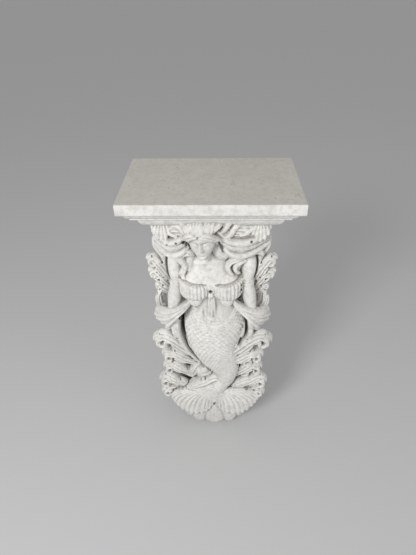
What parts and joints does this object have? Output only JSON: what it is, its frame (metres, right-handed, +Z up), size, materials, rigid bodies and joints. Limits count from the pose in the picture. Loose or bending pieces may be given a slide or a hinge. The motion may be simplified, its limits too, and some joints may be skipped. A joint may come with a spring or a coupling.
{
  "type": "mermaid corbel",
  "caption": "Cast-stone wall corbel: a moulded shelf carried by a mermaid in high relief, with wavy hair, scallop shells, leaves and a fluked tail.",
  "frame": {"origin": "middle of the flat back, which rests against the wall: on the centreline, halfway between the shelf's top and the lowest point", "axes": "+Y into the wall, -Y out to the front, +Z up, +X to the right of a person facing the corbel"},
  "size_m": [0.23, 0.15, 0.5],
  "materials": {
    "cast_stone": "matt, finely speckled grey on white, with small air holes"
  },
  "bodies": {
    "root": {"mermaid_corbel": "cast_stone"}
  },
  "joints": []
}
